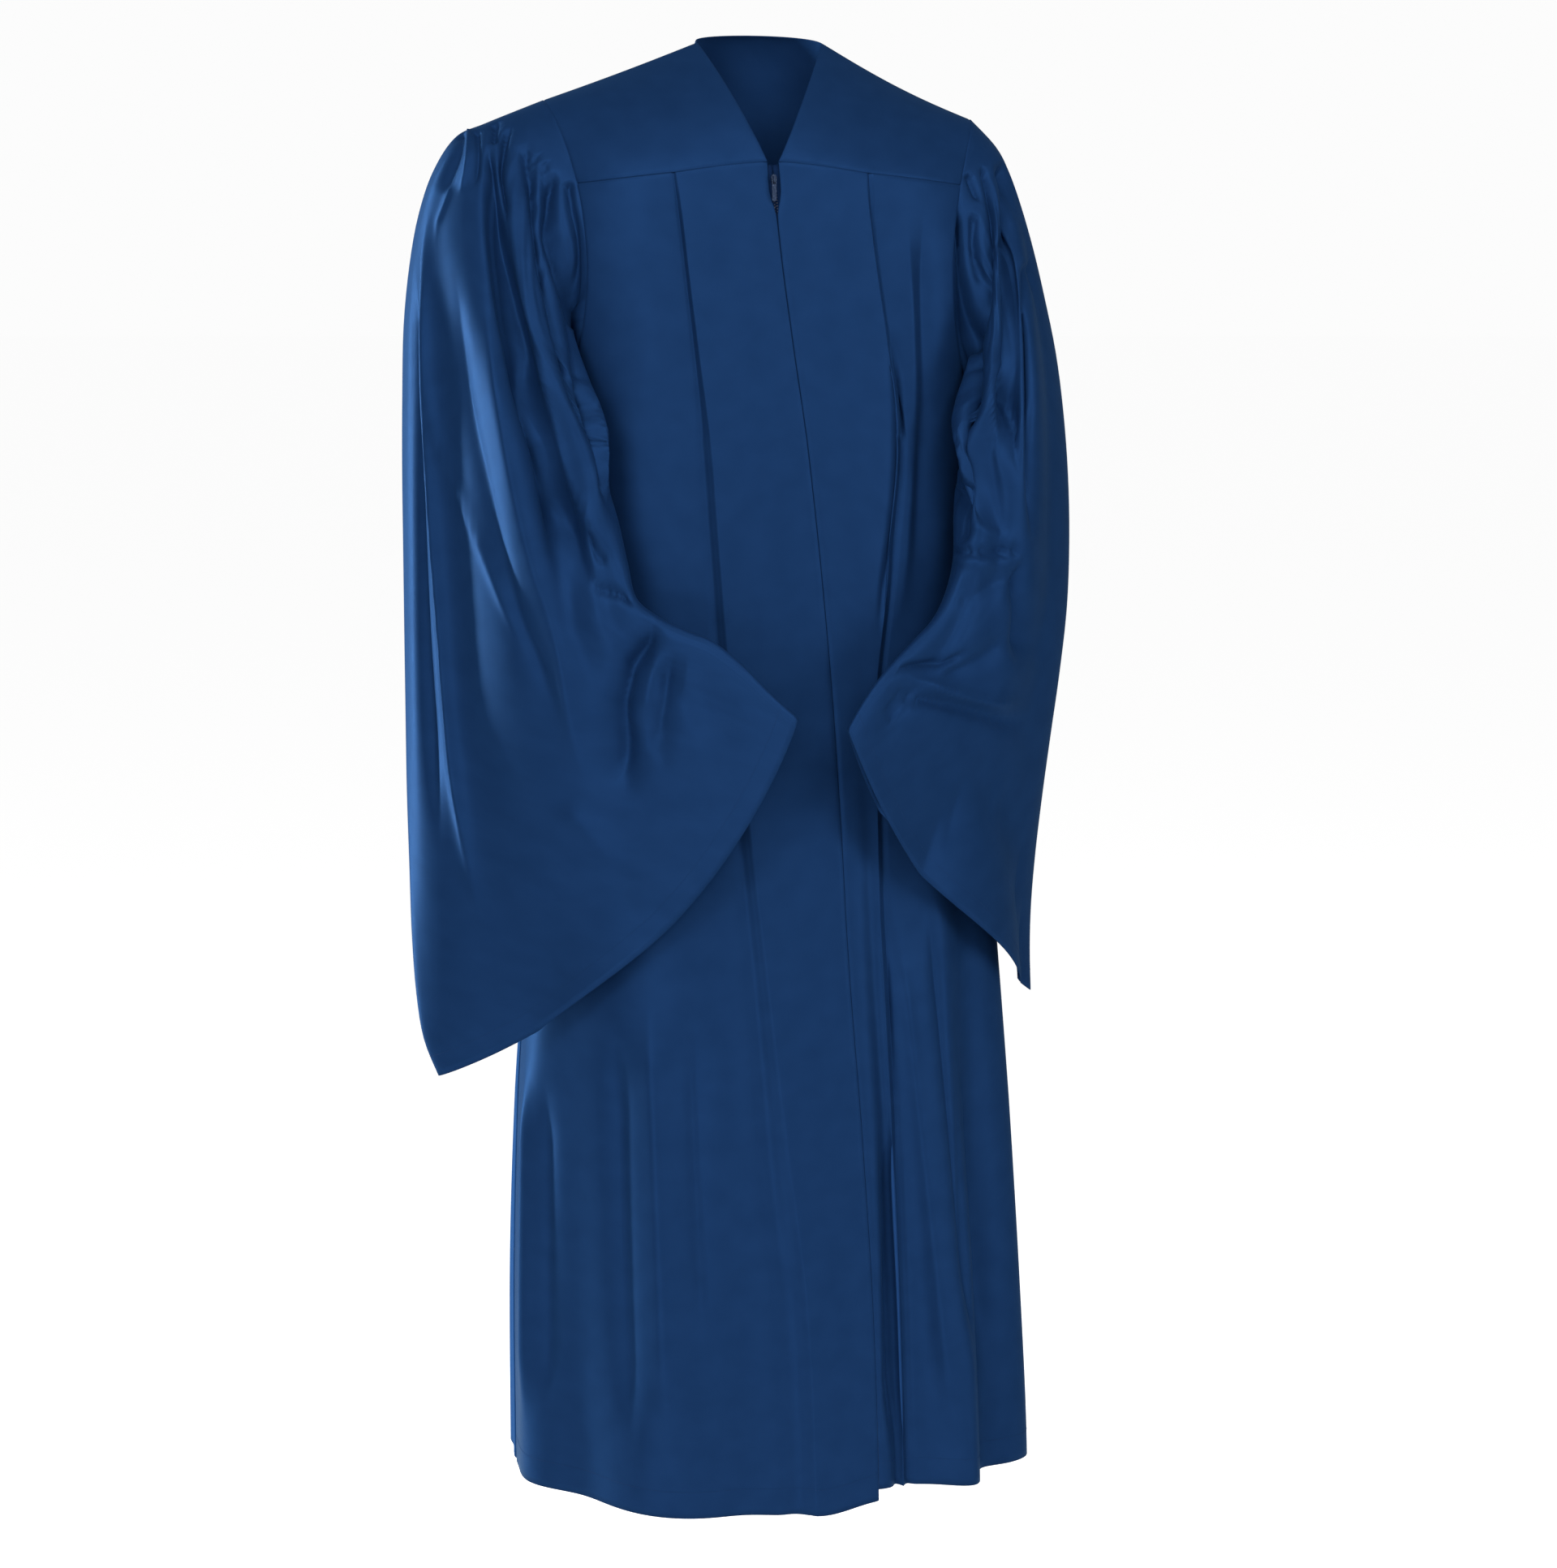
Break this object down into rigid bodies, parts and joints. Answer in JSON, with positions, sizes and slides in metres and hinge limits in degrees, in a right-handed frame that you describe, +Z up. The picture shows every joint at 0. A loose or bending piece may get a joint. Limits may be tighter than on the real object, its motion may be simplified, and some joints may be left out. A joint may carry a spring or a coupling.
{
  "type": "graduation gown",
  "caption": "Full-length zip-front graduation gown with a plain yoke, a pleat on each front and open bell sleeves, filled out as if worn, hands drawn together.",
  "frame": {"origin": "midway between the two neck points, where the neck opening meets the shoulder seams, which is where the wearer's shoulders carry the gown", "axes": "+Z up along the wearer's body, -Y out of the front of the gown, +X towards the wearer's left hand"},
  "size_m": [0.634, 0.4417, 1.3738],
  "materials": {
    "gown_cloth": "navy polyester, matt with a soft sheen",
    "zip_tape": "woven navy tape with moulded navy teeth",
    "zip_metal": "blue-grey lacquered metal"
  },
  "bodies": {
    "root": {"yoke_front_right": "gown_cloth", "yoke_front_left": "gown_cloth", "yoke_back": "gown_cloth", "front_right": "gown_cloth", "front_left": "gown_cloth", "back": "gown_cloth", "sleeve_right": "gown_cloth", "sleeve_left": "gown_cloth", "zip": "zip_tape", "zip_slider": "zip_metal"},
    "pull_tab": {"zip_pull_tab": "zip_metal"}
  },
  "joints": [
    {"name": "pull_tab_hinge", "type": "hinge", "parent": "root", "child": "pull_tab", "pos_m": [-0.0032, -0.1152, -0.13282], "axis": [-1, 0, 0], "range_deg": [0, 150]}
  ]
}
